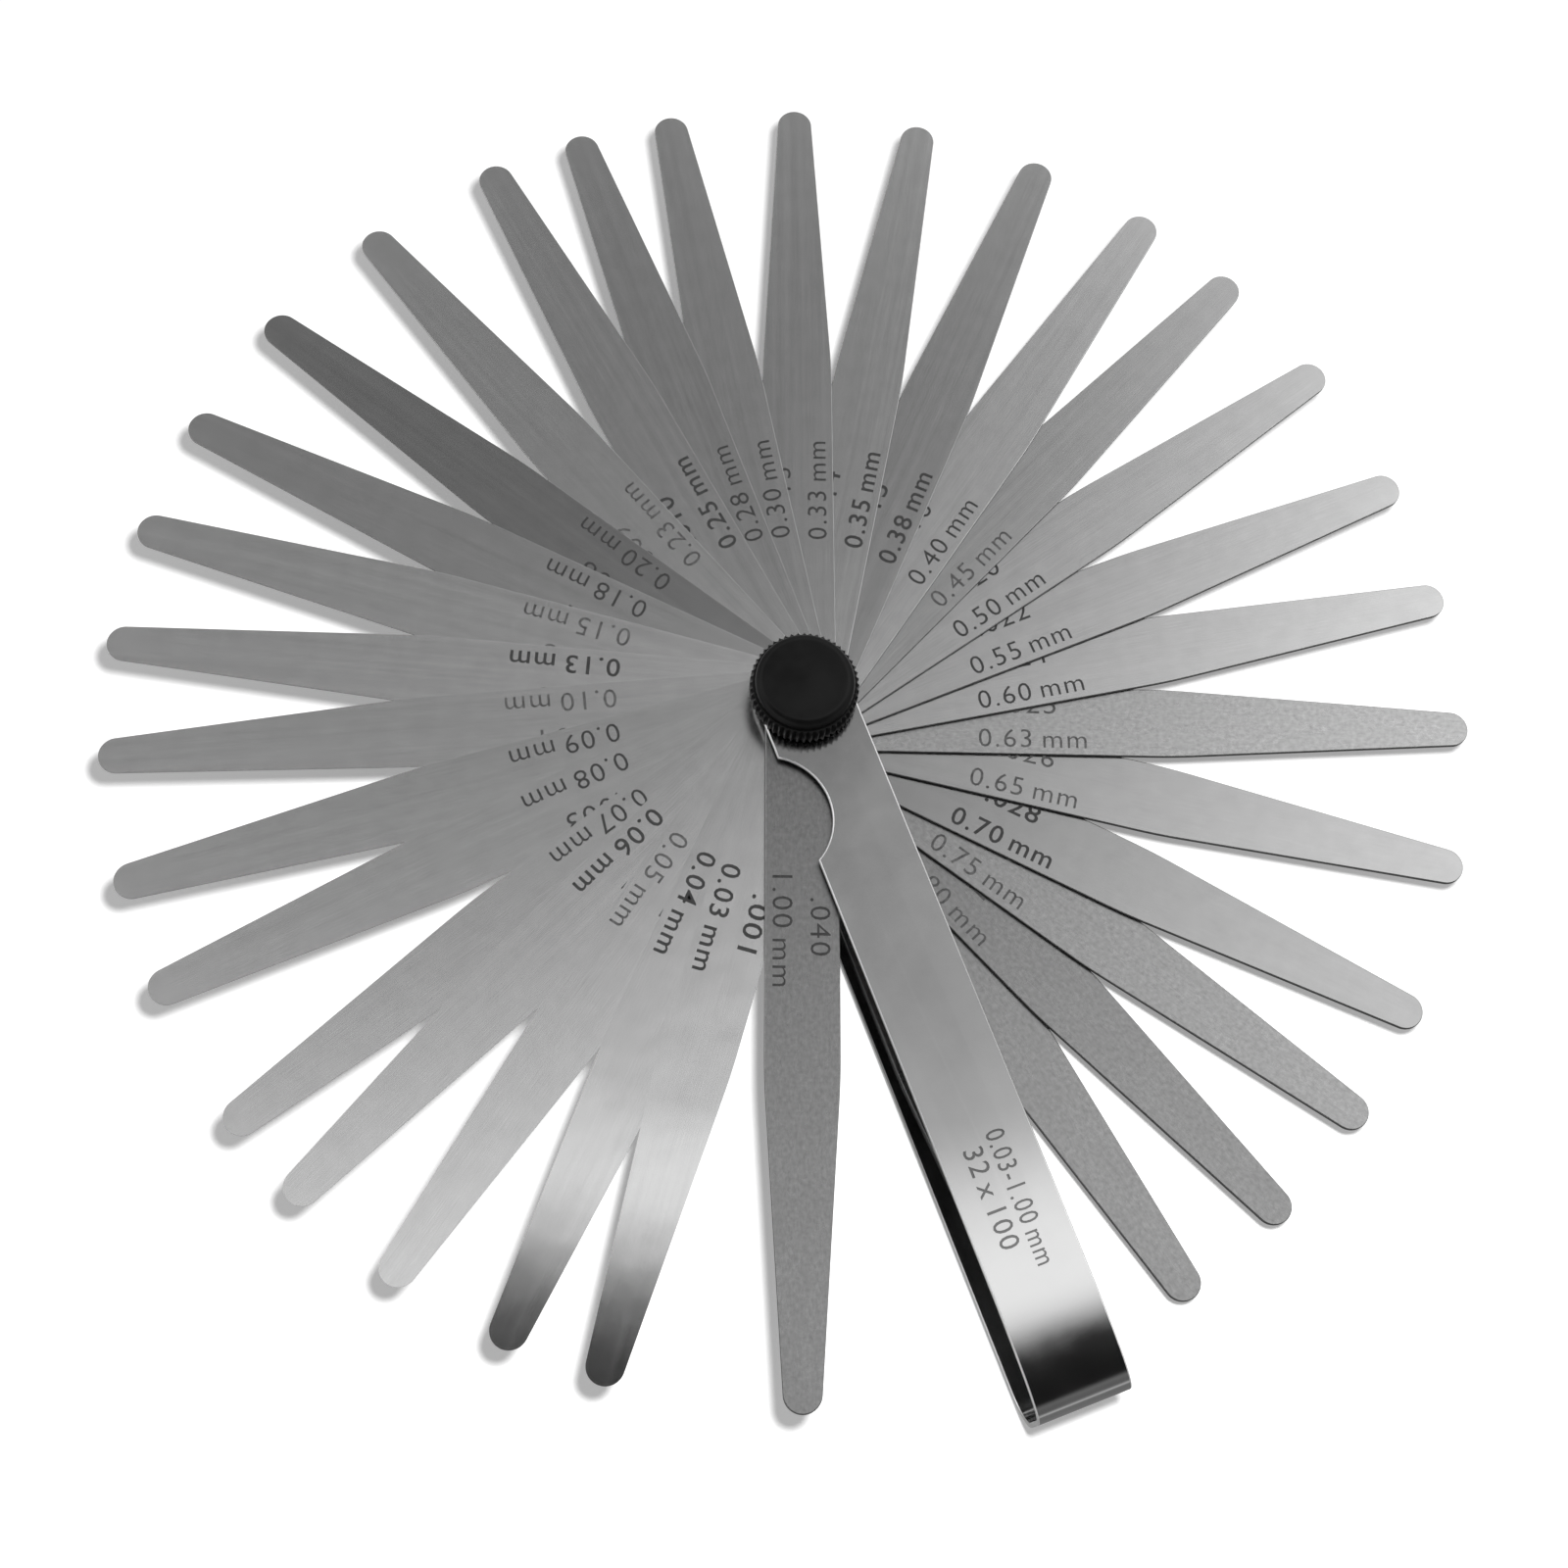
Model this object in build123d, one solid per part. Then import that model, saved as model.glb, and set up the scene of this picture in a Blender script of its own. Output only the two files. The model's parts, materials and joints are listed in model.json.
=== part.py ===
from build123d import *
import math
import os

# A feeler gauge: thirty-two calibrated steel blades fan out from one bolt between the two
# leaves of a folded steel holder, and a knurled plastic knob clamps them.
# The origin is on the bolt's axis, on the flat underside of its head, where the gauge rests.
# +Z runs up the bolt towards the knob, and the holder reaches from the bolt along -Y.

# ---------------------------------------------------------------- driving dimensions, mm
# The blades from the top of the stack down: thickness, and the angle in degrees by which
# the blade is swung out of the holder, anticlockwise as seen from the knob.
BLADES = (
    (1.00, 339.0), (0.03, 323.5), (0.04, 315.5), (0.05, 305.5),
    (0.06, 295.5), (0.07, 288.0), (0.08, 275.5), (0.09, 266.0),
    (0.10, 255.0), (0.13, 245.0), (0.15, 234.5), (0.18, 224.0),
    (0.20, 212.5), (0.23, 200.5), (0.25, 188.0), (0.28, 179.5),
    (0.30, 171.0), (0.33, 159.5), (0.35, 148.0), (0.38, 136.5),
    (0.40, 125.5), (0.45, 116.0), (0.50, 104.5), (0.55, 92.0),
    (0.60, 81.0), (0.63, 69.0), (0.65, 56.5), (0.70, 43.0),
    (0.75, 33.0), (0.80, 22.5), (0.85, 12.5), (0.90, 0.0),
)
BLADE_LENGTH = 100.0      # overall, from the round bolt end to the tip
BLADE_WIDTH = 10.0        # of the parallel stretch
TIP_RADIUS = 2.5          # of the round tip
TAPER_START = 52.5        # from the bolt's axis to where the sides begin to close in
TAPER_BLEND_RADIUS = 100.0  # softens the corner where the taper begins

BOLT_RADIUS = 2.5         # M5 shank
BOLT_HEAD_RADIUS = 6.0
BOLT_HEAD_HEIGHT = 1.2
BOLT_HEAD_CHAMFER = 0.4
BOLT_NECK_SIDE = 5.2      # square neck that keeps the bolt from turning
BOLT_END_CHAMFER = 0.4
THREAD_REACH = 3.1        # how far the bolt stands above the washer's seat

HOLDER_WIDTH = 13.0
HOLDER_THICKNESS = 0.7
BEND_RADIUS = 4.0         # inside radius of the two corners of the fold
NOTCH_RADIUS = 8.8        # thumb notch in the upper leaf
NOTCH_CENTRE = 15.1       # from the bolt's axis, along the holder
NOTCH_DEPTH = 4.35

WASHER_RADIUS = 5.0
WASHER_THICKNESS = 0.5

KNOB_RADIUS = 7.4         # over the knurl's crests
KNOB_HEIGHT = 5.0         # to the shoulder of the crown
KNOB_DOME = 0.3           # rise of the top face to its middle
KNOB_CROWN_RADIUS = 6.75  # smooth part above the knurl
KNOB_SHOULDER_RADIUS = 1.2
KNURL_HEIGHT = 3.4
KNURL_CHAMFER = 0.3
KNURL_COUNT = 52
KNURL_DEPTH = 0.45
KNOB_TOP_WALL = 1.0

INSERT_RADIUS = 3.8       # threaded brass insert moulded into the knob
INSERT_HEIGHT = 3.6

# ---------------------------------------------------------------- clearances, mm
BORE_CLEARANCE = 0.05     # round the shank, on the radius
NECK_CLEARANCE = 0.05     # round the square neck, on each side
BLADE_GAP = 0.02          # under and over each blade
SPRING_GAP = 1.1          # the upper leaf springs up this far when the knob is slack
TIP_CLEARANCE = 0.7       # from a folded blade's tip to the start of the bend
SEAT_GAP = 0.02           # under the washer and under the knob
INSERT_CLEARANCE = 0.01   # round the insert

# ---------------------------------------------------------------- places that follow
BORE_RADIUS = BOLT_RADIUS + BORE_CLEARANCE
LOWER_LEAF_TOP = BOLT_HEAD_HEIGHT + HOLDER_THICKNESS
STACK_HEIGHT = sum(thickness + BLADE_GAP for thickness, _ in BLADES) + BLADE_GAP
UPPER_LEAF_BOTTOM = LOWER_LEAF_TOP + STACK_HEIGHT + SPRING_GAP
UPPER_LEAF_TOP = UPPER_LEAF_BOTTOM + HOLDER_THICKNESS
FOLDED_TIP = BLADE_LENGTH - BLADE_WIDTH / 2
HOLDER_REACH = FOLDED_TIP + TIP_CLEARANCE + BEND_RADIUS + HOLDER_THICKNESS
WASHER_BOTTOM = UPPER_LEAF_TOP + SEAT_GAP
KNOB_BOTTOM = WASHER_BOTTOM + WASHER_THICKNESS + SEAT_GAP
BOLT_TOP = WASHER_BOTTOM + THREAD_REACH


def disc(radius, bottom, height):
    """A round bar on the bolt's axis that starts at the height `bottom`."""
    return Pos(0, 0, bottom) * extrude(Circle(radius), height)


def square_bar(side, bottom, height):
    """A square bar on the bolt's axis that starts at the height `bottom`."""
    return Pos(0, 0, bottom) * extrude(Rectangle(side, side), height)


def blade_face():
    """A blade's outline with its bore: the bore is at the origin and the tip along +X."""
    half_width = BLADE_WIDTH / 2
    tip_centre = BLADE_LENGTH - half_width - TIP_RADIUS
    run = tip_centre - TAPER_START
    lean = math.atan2(half_width, run) - math.asin(TIP_RADIUS / math.hypot(run, half_width))
    kink = (TAPER_START, half_width)
    touch = (tip_centre + TIP_RADIUS * math.sin(lean), TIP_RADIUS * math.cos(lean))
    with BuildSketch() as face:
        with BuildLine():
            Line((0, half_width), kink)
            Line(kink, touch)
            ThreePointArc(touch, (tip_centre + TIP_RADIUS, 0), (touch[0], -touch[1]))
            Line((touch[0], -touch[1]), (kink[0], -kink[1]))
            Line((kink[0], -kink[1]), (0, -half_width))
            ThreePointArc((0, -half_width), (-half_width, 0), (0, half_width))
        make_face()
        kinks = [corner for corner in face.vertices() if math.isclose(corner.X, TAPER_START)]
        fillet(kinks, TAPER_BLEND_RADIUS)
        Circle(BORE_RADIUS, mode=Mode.SUBTRACT)
    return face.sketch


def blade_name(thickness):
    return f"blade_{thickness:.2f}".replace(".", "_")


def make_blades():
    """Every blade at its height in the stack, swung out by its angle."""
    outline = blade_face()
    blades = {}
    top = LOWER_LEAF_TOP + STACK_HEIGHT - BLADE_GAP
    for thickness, swing in BLADES:
        blade = extrude(outline, thickness)
        blades[blade_name(thickness)] = Pos(0, 0, top - thickness) * Rot(0, 0, swing - 90) * blade
        top -= thickness + BLADE_GAP
    return blades


def fold_outline(reach, bottom, top, corner_radius):
    """Side view of the folded strip's outside or inside: a slot that is closed at -Y."""
    open_end = HOLDER_WIDTH
    middle = (open_end - reach) / 2
    with BuildSketch(Plane.YZ) as outline:
        with Locations((middle, (bottom + top) / 2)):
            Rectangle(open_end + reach, top - bottom)
        closed_end = outline.vertices().sort_by(Axis.X)[:2]
        fillet(closed_end, corner_radius)
    return outline.sketch


def make_holder():
    """One strip folded into a U, with round ends at the bolt and a thumb notch on top."""
    outside = fold_outline(
        HOLDER_REACH, BOLT_HEAD_HEIGHT, UPPER_LEAF_TOP, BEND_RADIUS + HOLDER_THICKNESS
    )
    inside = fold_outline(
        HOLDER_REACH - HOLDER_THICKNESS, LOWER_LEAF_TOP, UPPER_LEAF_BOTTOM, BEND_RADIUS
    )
    strip = extrude(outside, HOLDER_WIDTH / 2, both=True)
    strip -= extrude(inside, HOLDER_WIDTH, both=True)

    plan = Circle(HOLDER_WIDTH / 2)
    plan += Pos(0, -HOLDER_REACH / 2) * Rectangle(HOLDER_WIDTH, HOLDER_REACH)
    strip &= extrude(plan, UPPER_LEAF_TOP)

    strip -= square_bar(BOLT_NECK_SIDE + 2 * NECK_CLEARANCE, 0, LOWER_LEAF_TOP)
    strip -= disc(BORE_RADIUS, UPPER_LEAF_BOTTOM, HOLDER_THICKNESS)
    notch_x = -HOLDER_WIDTH / 2 + NOTCH_DEPTH - NOTCH_RADIUS
    notch = Pos(notch_x, -NOTCH_CENTRE, 0) * disc(NOTCH_RADIUS, UPPER_LEAF_BOTTOM, HOLDER_THICKNESS)
    return strip - notch


def make_bolt():
    """Low round head under the holder, square neck in the lower leaf, plain M5 shank."""
    head = disc(BOLT_HEAD_RADIUS, 0, BOLT_HEAD_HEIGHT)
    head = chamfer(head.edges().sort_by(Axis.Z)[0], BOLT_HEAD_CHAMFER)
    neck = square_bar(BOLT_NECK_SIDE, BOLT_HEAD_HEIGHT, HOLDER_THICKNESS)
    shank = disc(BOLT_RADIUS, LOWER_LEAF_TOP, BOLT_TOP - LOWER_LEAF_TOP)
    shank = chamfer(shank.edges().sort_by(Axis.Z)[-1], BOLT_END_CHAMFER)
    return head + neck + shank


def make_washer():
    ring = disc(WASHER_RADIUS, WASHER_BOTTOM, WASHER_THICKNESS)
    return ring - disc(BORE_RADIUS, WASHER_BOTTOM, WASHER_THICKNESS)


def make_insert():
    sleeve = disc(INSERT_RADIUS, KNOB_BOTTOM, INSERT_HEIGHT)
    return sleeve - disc(BORE_RADIUS, KNOB_BOTTOM, INSERT_HEIGHT)


def knurl_face():
    """Cross-section of the knurled grip: V grooves cut into a circle."""
    half_pitch = math.pi / KNURL_COUNT
    points = []
    for step in range(2 * KNURL_COUNT):
        radius = KNOB_RADIUS - KNURL_DEPTH * (step % 2)
        points.append((radius * math.cos(step * half_pitch), radius * math.sin(step * half_pitch)))
    return make_face(Polyline(*points, close=True))


def make_knob():
    """Knurled plastic cap with a domed crown, hollow for the insert and the bolt's end."""
    grip = extrude(knurl_face(), KNURL_HEIGHT)
    limit = chamfer(disc(KNOB_RADIUS, 0, KNURL_HEIGHT).edges(), KNURL_CHAMFER)
    grip &= limit

    shoulder_height = KNOB_HEIGHT - KNOB_SHOULDER_RADIUS
    shoulder_start = KNOB_CROWN_RADIUS - KNOB_SHOULDER_RADIUS
    turn = KNOB_SHOULDER_RADIUS * math.sqrt(0.5)
    with BuildSketch(Plane.XZ) as profile:
        with BuildLine():
            Line((0, 0), (KNOB_CROWN_RADIUS, 0))
            Line((KNOB_CROWN_RADIUS, 0), (KNOB_CROWN_RADIUS, shoulder_height))
            ThreePointArc(
                (KNOB_CROWN_RADIUS, shoulder_height),
                (shoulder_start + turn, shoulder_height + turn),
                (shoulder_start, KNOB_HEIGHT),
            )
            Spline(
                (shoulder_start, KNOB_HEIGHT),
                (0, KNOB_HEIGHT + KNOB_DOME),
                tangents=((-1, 0), (-1, 0)),
            )
            Line((0, KNOB_HEIGHT + KNOB_DOME), (0, 0))
        make_face()
    crown = revolve(profile.sketch, Axis.Z)

    pocket = disc(INSERT_RADIUS + INSERT_CLEARANCE, 0, INSERT_HEIGHT)
    pocket += disc(BORE_RADIUS, 0, KNOB_HEIGHT - KNOB_TOP_WALL)
    return Pos(0, 0, KNOB_BOTTOM) * (grip + crown - pocket)


def make_gauge():
    pieces = {"holder": make_holder(), "pivot_bolt": make_bolt()}
    pieces.update(make_blades())
    pieces["washer"] = make_washer()
    pieces["knob"] = make_knob()
    pieces["knob_insert"] = make_insert()
    return pieces


os.makedirs("parts", exist_ok=True)
for name, piece in make_gauge().items():
    export_step(piece, f"parts/{name}.step")
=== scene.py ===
# %% [markdown]
# # A feeler gauge
# Thirty-two steel blades, each ground to one thickness, fan out from a bolt between the two
# leaves of a folded steel holder. A knurled plastic knob clamps them. The engineering model is
# loaded first and stays as it is: it fixes every size, place and joint. Everything below only
# builds finer meshes and finishes in the same places.

import bpy
import bmesh
import json
import math
from mathutils import Matrix, Vector


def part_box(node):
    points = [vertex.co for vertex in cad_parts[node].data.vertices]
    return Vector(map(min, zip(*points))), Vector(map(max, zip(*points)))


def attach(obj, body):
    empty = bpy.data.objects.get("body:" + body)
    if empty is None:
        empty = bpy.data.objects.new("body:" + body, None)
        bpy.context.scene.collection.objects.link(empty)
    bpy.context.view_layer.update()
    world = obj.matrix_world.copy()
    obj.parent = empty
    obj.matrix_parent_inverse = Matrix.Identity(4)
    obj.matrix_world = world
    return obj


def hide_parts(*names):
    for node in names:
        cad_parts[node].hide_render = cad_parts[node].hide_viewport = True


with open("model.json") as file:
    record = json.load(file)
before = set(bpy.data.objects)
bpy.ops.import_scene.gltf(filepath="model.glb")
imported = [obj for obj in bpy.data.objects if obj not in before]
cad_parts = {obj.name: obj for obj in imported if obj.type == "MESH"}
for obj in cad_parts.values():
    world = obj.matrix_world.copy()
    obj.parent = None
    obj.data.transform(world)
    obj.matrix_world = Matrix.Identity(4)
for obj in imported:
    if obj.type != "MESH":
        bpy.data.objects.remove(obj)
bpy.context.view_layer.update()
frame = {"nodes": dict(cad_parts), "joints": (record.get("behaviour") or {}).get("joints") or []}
scene = bpy.context.scene

# %% [markdown]
# ## Working in millimetres
# The pieces here are as thin as three hundredths of a millimetre. Blender's fills and merges
# use fixed small tolerances, which suit numbers near one, so each mesh is drawn in millimetres
# and shrunk to metres once it is finished.

# %% Sizes read from the frame, in millimetres
MM = 0.001


def box_mm(node):
    """Lowest and highest corner of a CAD node, in millimetres."""
    low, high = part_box(node)
    return low / MM, high / MM


folded_low, folded_high = box_mm("blade_0_90")
holder_low, holder_high = box_mm("holder")
BLADE_WIDTH = folded_high.x - folded_low.x
BLADE_LENGTH = folded_high.y - folded_low.y
HOLDER_WIDTH = holder_high.x - holder_low.x
HOLDER_REACH = -holder_low.y
print(f"blade {BLADE_LENGTH:.1f} x {BLADE_WIDTH:.1f} mm, holder reach {HOLDER_REACH:.1f} mm")

# %% [markdown]
# ## Helpers for flat steel
# Blades and holder are blanked from sheet. A 2D curve with an extrude and a bevel is the
# shortest way to such a piece: its splines are the outline and the holes, the fill closes the
# two faces, and the bevel rounds the rim. The curve is turned into a mesh straight away.
# A rounded rim next to a big flat face would smear the face's shading, so the line where the
# flat face ends is marked sharp.

# %% Arcs
def arc_points(centre, radius, start, end, count):
    """Points on an arc from start to end, in degrees, both ends included."""
    points = []
    for step in range(count + 1):
        angle = math.radians(start + (end - start) * step / count)
        points.append((centre[0] + radius * math.cos(angle), centre[1] + radius * math.sin(angle)))
    return points


print("a half circle in 8 steps has", len(arc_points((0, 0), 1, 0, 180, 8)), "points")

# %% From a curve to a welded mesh
WELD = 0.0005
SLIVER = 0.0001


def drawn_mesh(curve):
    """The mesh of a curve or text, with nothing left in the scene."""
    drawing = bpy.data.objects.new("drawing", curve)
    scene.collection.objects.link(drawing)
    graph = bpy.context.evaluated_depsgraph_get()
    mesh = bpy.data.meshes.new_from_object(drawing.evaluated_get(graph))
    bpy.data.objects.remove(drawing)
    bpy.data.curves.remove(curve)
    return mesh


def weld(mesh):
    """Merges doubled points and turns all faces outwards."""
    work = bmesh.new()
    work.from_mesh(mesh)
    bmesh.ops.remove_doubles(work, verts=work.verts, dist=WELD)
    bmesh.ops.dissolve_degenerate(work, edges=work.edges, dist=SLIVER)
    bmesh.ops.recalc_face_normals(work, faces=work.faces)
    work.to_mesh(mesh)
    work.free()


print("points closer than", WELD, "mm are merged")

# %% Plates
FLAT = 0.999


def plate_mesh(outlines, thickness, rim):
    """A plate with its underside at height 0: outer outline first, then its holes."""
    curve = bpy.data.curves.new("plate", "CURVE")
    curve.dimensions = "2D"
    curve.fill_mode = "BOTH"
    curve.extrude = thickness / 2 - rim
    curve.bevel_depth = rim
    curve.bevel_resolution = 2
    curve.offset = -rim
    for points in outlines:
        spline = curve.splines.new("POLY")
        spline.points.add(len(points) - 1)
        spline.use_cyclic_u = True
        for place, point in zip(spline.points, points):
            place.co = (point[0], point[1], 0, 1)
    mesh = drawn_mesh(curve)
    weld(mesh)
    mesh.transform(Matrix.Translation((0, 0, thickness / 2)))
    return mesh


def mark_flat_rims(mesh):
    """Smooth faces everywhere, but a sharp line round each flat face."""
    work = bmesh.new()
    work.from_mesh(mesh)
    for face in work.faces:
        face.smooth = True
    for edge in work.edges:
        flat = [abs(face.normal.z) > FLAT for face in edge.link_faces]
        edge.smooth = len(set(flat)) < 2
    work.to_mesh(mesh)
    work.free()


print("a face counts as flat above", FLAT)

# %% Adding a finished piece
def add_piece(name, mesh, materials, body, slot, *nodes):
    """Puts a finished mesh, drawn in millimetres, into the scene on its CAD body."""
    mesh.transform(Matrix.Scale(MM, 4))
    mesh.name = name
    piece = bpy.data.objects.new(name, mesh)
    scene.collection.objects.link(piece)
    for material in materials:
        mesh.materials.append(material)
    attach(piece, body)
    if nodes:
        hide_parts(*nodes)
    return piece


print("CAD nodes to replace or finish:", len(frame["nodes"]))

# %% [markdown]
# ## Shader building blocks
# Two effects are shared by several finishes, so each is a node group. "Ground lines" gives the
# fine parallel scratches that a grinding wheel leaves: noise that is stretched a long way in
# one direction. "Clouding" gives the soft uneven patches of handled metal and plastic.
# Groups only hand out values and colours; the shader stays in each material.

# %% Node helpers
def plug(tree, value, socket):
    """Links an output socket, or sets a plain value."""
    if isinstance(value, bpy.types.NodeSocket):
        tree.links.new(value, socket)
    else:
        socket.default_value = value


def add_math(tree, operation, *values):
    """A Math node; each value is a number or an output socket."""
    maths = tree.nodes.new("ShaderNodeMath")
    maths.operation = operation
    for place, value in enumerate(values):
        plug(tree, value, maths.inputs[place])
    return maths.outputs[0]


def add_noise(tree, vector, scale, detail, roughness):
    """A noise texture's value, 0 to 1."""
    noise = tree.nodes.new("ShaderNodeTexNoise")
    plug(tree, vector, noise.inputs["Vector"])
    plug(tree, scale, noise.inputs["Scale"])
    noise.inputs["Detail"].default_value = detail
    noise.inputs["Roughness"].default_value = roughness
    return noise.outputs["Fac"]


def new_group(name, inputs, outputs):
    """An empty shader group with number or vector inputs and number outputs."""
    group = bpy.data.node_groups.new(name, "ShaderNodeTree")
    for label, kind, value in inputs:
        item = group.interface.new_socket(label, in_out="INPUT", socket_type=kind)
        if kind == "NodeSocketFloat":
            item.default_value = value
    for label in outputs:
        group.interface.new_socket(label, in_out="OUTPUT", socket_type="NodeSocketFloat")
    return group, group.nodes.new("NodeGroupInput"), group.nodes.new("NodeGroupOutput")


print("node groups so far:", len(bpy.data.node_groups))

# %% The two groups
COARSE_SHARE = 0.12


def make_ground_lines():
    """Scratches along the first coordinate: outputs run from 0 to 1."""
    inputs = [
        ("Vector", "NodeSocketVector", None),
        ("Scale", "NodeSocketFloat", 400.0),
        ("Stretch", "NodeSocketFloat", 40.0),
    ]
    group, into, out = new_group("Ground lines", inputs, ["Lines", "Broad"])
    split = group.nodes.new("ShaderNodeSeparateXYZ")
    group.links.new(into.outputs["Vector"], split.inputs[0])
    join = group.nodes.new("ShaderNodeCombineXYZ")
    along = add_math(group, "DIVIDE", split.outputs["X"], into.outputs["Stretch"])
    plug(group, along, join.inputs["X"])
    plug(group, split.outputs["Y"], join.inputs["Y"])
    plug(group, split.outputs["Z"], join.inputs["Z"])
    fine = add_noise(group, join.outputs[0], into.outputs["Scale"], 3.0, 0.6)
    group.links.new(fine, out.inputs["Lines"])
    coarse = add_math(group, "MULTIPLY", into.outputs["Scale"], COARSE_SHARE)
    broad = add_noise(group, join.outputs[0], coarse, 2.0, 0.5)
    group.links.new(broad, out.inputs["Broad"])
    return group


def make_clouding():
    """Soft patches: the noise is pushed towards 0 or 1 by Contrast."""
    inputs = [
        ("Vector", "NodeSocketVector", None),
        ("Scale", "NodeSocketFloat", 60.0),
        ("Contrast", "NodeSocketFloat", 1.5),
    ]
    group, into, out = new_group("Clouding", inputs, ["Patches"])
    noise = add_noise(group, into.outputs["Vector"], into.outputs["Scale"], 4.0, 0.55)
    centred = add_math(group, "SUBTRACT", noise, 0.5)
    spread = add_math(group, "MULTIPLY", centred, into.outputs["Contrast"])
    lifted = add_math(group, "ADD", spread, 0.5)
    clamp = group.nodes.new("ShaderNodeClamp")
    plug(group, lifted, clamp.inputs[0])
    group.links.new(clamp.outputs[0], out.inputs["Patches"])
    return group


GROUND_LINES = make_ground_lines()
CLOUDING = make_clouding()
print("shader groups:", GROUND_LINES.name, "and", CLOUDING.name)

# %% [markdown]
# ## Building a material
# Every material starts from the Principled shader and reads its pattern either from Object
# coordinates or from the piece's own UV map. Most finishes here differ only in a few numbers:
# how large the patches are, between which two colours they wander and how rough they are. One
# helper makes those, and what is special about a finish is then added to it.

# %% Material helpers
def use_group(tree, group, **values):
    """Places a shader group and sets its inputs."""
    node = tree.nodes.new("ShaderNodeGroup")
    node.node_tree = group
    for label, value in values.items():
        plug(tree, value, node.inputs[label])
    return node.outputs


def new_material(name):
    """An empty node material with its Principled shader wired up."""
    material = bpy.data.materials.new(name)
    material.use_nodes = True
    shader = material.node_tree.nodes["Principled BSDF"]
    return material, material.node_tree, shader


print("a principled shader has", len(new_material("bare")[2].inputs), "inputs")
bpy.data.materials.remove(bpy.data.materials["bare"])

# %% Colours, ranges and bumps
def grey(level):
    """A grey as the four numbers that a colour socket takes."""
    return (level, level, level, 1.0)


def blend_colour(tree, factor, first, second):
    """Mixes two colours by a 0 to 1 value."""
    mix = tree.nodes.new("ShaderNodeMix")
    mix.data_type = "RGBA"
    plug(tree, factor, mix.inputs["Factor"])
    plug(tree, first, mix.inputs["A"])
    plug(tree, second, mix.inputs["B"])
    return mix.outputs["Result"]


def span(tree, value, low, high):
    """Maps 0 to 1 onto low to high."""
    between = tree.nodes.new("ShaderNodeMapRange")
    plug(tree, value, between.inputs["Value"])
    between.inputs["To Min"].default_value = low
    between.inputs["To Max"].default_value = high
    return between.outputs["Result"]


def ramp(tree, value, edges, first, last):
    """A smooth step from first to last as the value passes from one edge to the other."""
    step = tree.nodes.new("ShaderNodeMapRange")
    step.interpolation_type = "SMOOTHSTEP"
    plug(tree, value, step.inputs["Value"])
    step.inputs["From Min"].default_value = edges[0]
    step.inputs["From Max"].default_value = edges[1]
    plug(tree, first, step.inputs["To Min"])
    plug(tree, last, step.inputs["To Max"])
    return step.outputs["Result"]


def add_bump(tree, shader, height, strength, distance):
    """Gives the shader a normal from a height."""
    bump = tree.nodes.new("ShaderNodeBump")
    bump.inputs["Strength"].default_value = strength
    bump.inputs["Distance"].default_value = distance
    plug(tree, height, bump.inputs["Height"])
    plug(tree, bump.outputs["Normal"], shader.inputs["Normal"])
    return bump


print("a middle grey is", grey(0.5))

# %% A finish that wanders
def mottled_material(name, scale, contrast, colours, roughness, metal):
    """Colour and roughness wander between two values each, in patches of the given scale."""
    material, tree, shader = new_material(name)
    shader.inputs["Metallic"].default_value = metal
    place = tree.nodes.new("ShaderNodeTexCoord").outputs["Object"]
    patches = use_group(tree, CLOUDING, Vector=place, Scale=scale, Contrast=contrast)["Patches"]
    plug(tree, blend_colour(tree, patches, *colours), shader.inputs["Base Color"])
    plug(tree, span(tree, patches, *roughness), shader.inputs["Roughness"])
    return material, tree, shader, patches


print("patches at scale 500 are about", 1000 / 500, "mm across")

# %% [markdown]
# ## Blade steel
# Blades are spring steel, ground along their length to a satin grey. The scratches have to
# follow each blade as it swings, so they read the blade's own UV map, which runs from bolt to
# tip, and not the space around it. The heavier blades are ground with a coarser wheel. Each mesh
# carries a number that scales its grey: partly the blade's own grey, partly painted shade for
# how the light falls on that blade's direction.
# The thinnest two are foil and hang a little towards the tip. Their solids stay flat, so that
# the bend is a broad bump in their finish. The sheared edges are rougher and painted nearly
# black: painted shade for the shadowed gaps between stacked blades.

# %% Blade finishes
GRAIN_MAP = "along_blade"
TONE_AND_SHADE = "tone_and_shade"
LINE_SHARE = 0.6
DROOP_START = 0.58
DROOP_SCALE = 0.1
SLACKNESS = 0.003


def make_blade_steel(name, dark, light, line_scale, stretch, rough, mottling, droop=0.0):
    """Ground steel; droop is how steeply the last stretch hangs, as a share of its length."""
    material, tree, shader = new_material(name)
    shader.inputs["Metallic"].default_value = 1.0
    shader.inputs["Anisotropic"].default_value = 0.35
    place = tree.nodes.new("ShaderNodeUVMap")
    place.uv_map = GRAIN_MAP
    along = place.outputs["UV"]
    lines = use_group(tree, GROUND_LINES, Vector=along, Scale=line_scale, Stretch=stretch)
    patches = use_group(tree, CLOUDING, Vector=along, Scale=mottling, Contrast=2.2)
    mixed = add_math(tree, "MULTIPLY", lines["Lines"], LINE_SHARE)
    mixed = add_math(tree, "MULTIPLY_ADD", patches["Patches"], 1 - LINE_SHARE, mixed)
    # The per-blade number scales the grey: partly the blade's own grey, partly painted shade for
    # how the light falls on that blade.
    tone_and_shade = tree.nodes.new("ShaderNodeAttribute")
    tone_and_shade.attribute_name = TONE_AND_SHADE
    shade = blend_colour(tree, mixed, grey(dark), grey(light))
    scaled = tree.nodes.new("ShaderNodeVectorMath")
    scaled.operation = "SCALE"
    plug(tree, shade, scaled.inputs[0])
    plug(tree, tone_and_shade.outputs["Fac"], scaled.inputs["Scale"])
    plug(tree, scaled.outputs[0], shader.inputs["Base Color"])
    plug(tree, span(tree, lines["Broad"], rough - 0.03, rough + 0.04), shader.inputs["Roughness"])
    scratched = add_bump(tree, shader, lines["Lines"], 0.25, 0.00002)
    if droop:
        add_droop(tree, along, droop, scratched)
    return material


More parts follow.
